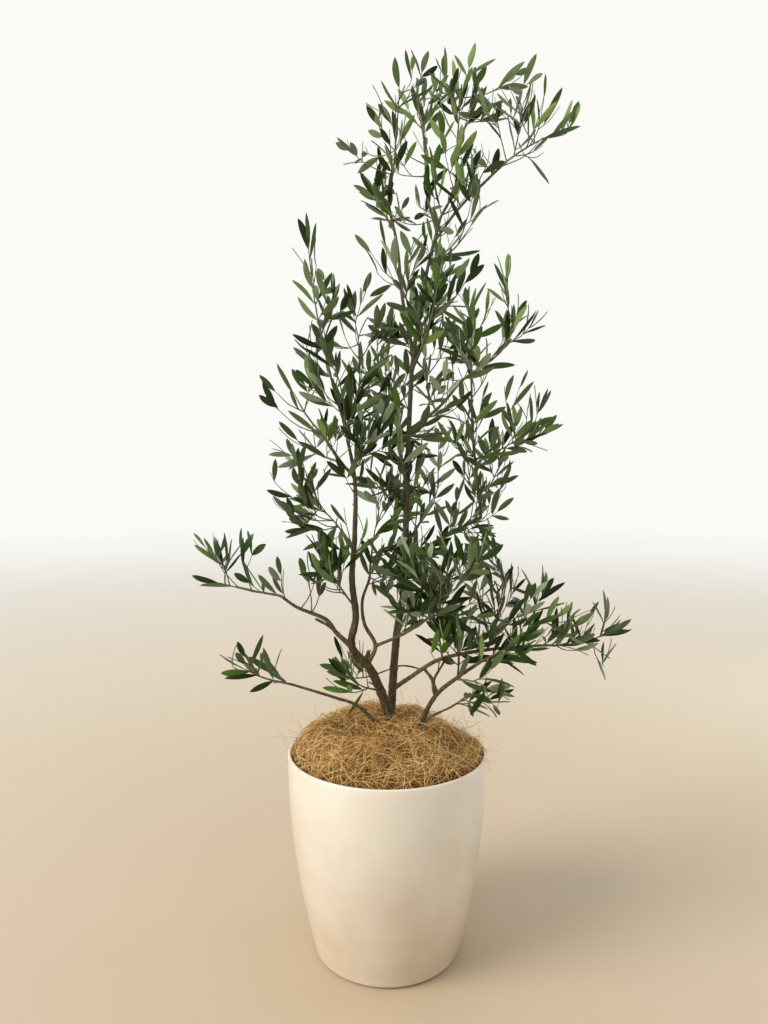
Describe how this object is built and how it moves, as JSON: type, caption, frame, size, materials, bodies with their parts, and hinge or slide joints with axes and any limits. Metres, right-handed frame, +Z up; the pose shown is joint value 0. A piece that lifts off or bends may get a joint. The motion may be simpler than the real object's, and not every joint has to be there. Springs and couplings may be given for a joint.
{
  "type": "potted olive tree",
  "caption": "Young olive tree with a straight leader, a forked side trunk and an airy crown, in a round glossy planter mulched with coconut fibre.",
  "frame": {"origin": "centre of the planter's flat underside", "axes": "+Z up along the trunk, +X towards the long low bough on the right as seen from the front, +Y to the back"},
  "size_m": [0.6595, 0.3246, 1.352],
  "materials": {
    "glazed_shell": "glossy, cream white",
    "dark_soil": "matte, crumbly",
    "coconut_fibre": "matte, fibrous",
    "trunk_bark": "matte bark",
    "bough_bark": "smooth young bark",
    "olive_leaves": "satin, leathery"
  },
  "bodies": {
    "root": {"pot": "glazed_shell", "soil": "dark_soil", "coir_mulch": "coconut_fibre", "trunk_leader": "trunk_bark", "trunk_left": "trunk_bark", "stem_right": "trunk_bark", "bough_low_left": "bough_bark", "bough_left_long": "bough_bark", "bough_fork_mid": "bough_bark", "bough_cross_right": "bough_bark", "bough_low_right": "bough_bark", "bough_right_riser_low": "bough_bark", "bough_right_riser": "bough_bark", "bough_right_upper": "bough_bark", "bough_left_mid": "bough_bark", "bough_upper_left": "bough_bark", "bough_top_left": "bough_bark", "bough_top_right": "bough_bark", "bough_back_low": "bough_bark", "bough_back_mid": "bough_bark", "bough_back_high": "bough_bark", "bough_front_mid": "bough_bark", "bough_front_high": "bough_bark", "foliage_top": "olive_leaves", "foliage_top_left": "olive_leaves", "foliage_top_right": "olive_leaves", "foliage_upper_left": "olive_leaves", "foliage_upper_left_side": "olive_leaves", "foliage_leader_right": "olive_leaves", "foliage_leader_left": "olive_leaves", "foliage_left_top": "olive_leaves", "foliage_left_upper": "olive_leaves", "foliage_left_face": "olive_leaves", "foliage_left_mid": "olive_leaves", "foliage_left_mid_low": "olive_leaves", "foliage_left_waist": "olive_leaves", "foliage_left_clump": "olive_leaves", "foliage_left_long": "olive_leaves", "foliage_low_left_tip": "olive_leaves", "foliage_low_left_inner": "olive_leaves", "foliage_fork_mid": "olive_leaves", "foliage_centre_left": "olive_leaves", "foliage_cross_right": "olive_leaves", "foliage_right_top": "olive_leaves", "foliage_right_upper": "olive_leaves", "foliage_right_inner": "olive_leaves", "foliage_right_mid": "olive_leaves", "foliage_right_lower": "olive_leaves", "foliage_right_waist": "olive_leaves", "foliage_low_right_near": "olive_leaves", "foliage_low_right_mid": "olive_leaves", "foliage_low_right_far": "olive_leaves", "foliage_stem_right": "olive_leaves", "foliage_lowest_right": "olive_leaves", "foliage_back_low": "olive_leaves", "foliage_back_mid": "olive_leaves", "foliage_back_high": "olive_leaves", "foliage_front_mid": "olive_leaves", "foliage_front_high": "olive_leaves"}
  },
  "joints": []
}
